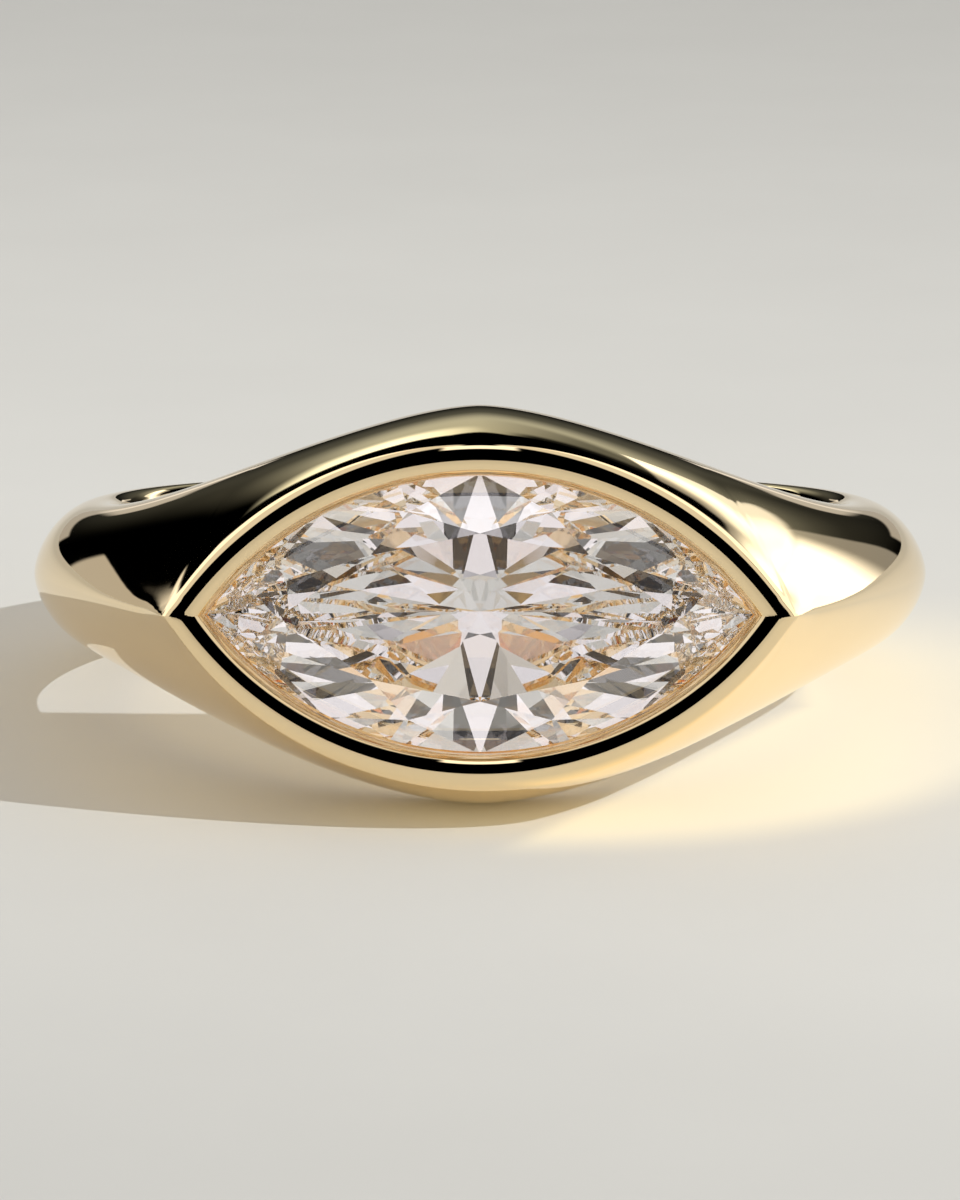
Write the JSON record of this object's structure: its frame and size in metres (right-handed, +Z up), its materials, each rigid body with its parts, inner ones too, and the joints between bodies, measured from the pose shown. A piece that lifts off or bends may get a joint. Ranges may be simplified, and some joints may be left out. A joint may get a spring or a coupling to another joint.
{
  "type": "solitaire engagement ring",
  "caption": "Yellow gold ring with a marquise cut stone set across the finger in a full bezel, whose broad head tapers through ridged shoulders into a domed band.",
  "frame": {"origin": "on the surface the ring lies on, under the middle of its bounding box", "axes": "+Z up; the stone faces -Y and slightly up; the finger axis leans 8.71 degrees from +Z towards +Y; +X is along the stone's length"},
  "size_m": [0.0208, 0.0226, 0.0087],
  "materials": {
    "gold": "polished yellow gold",
    "stone": "cut and polished colourless stone"
  },
  "bodies": {
    "root": {"ring_body": "gold", "marquise_stone": "stone"}
  },
  "joints": []
}
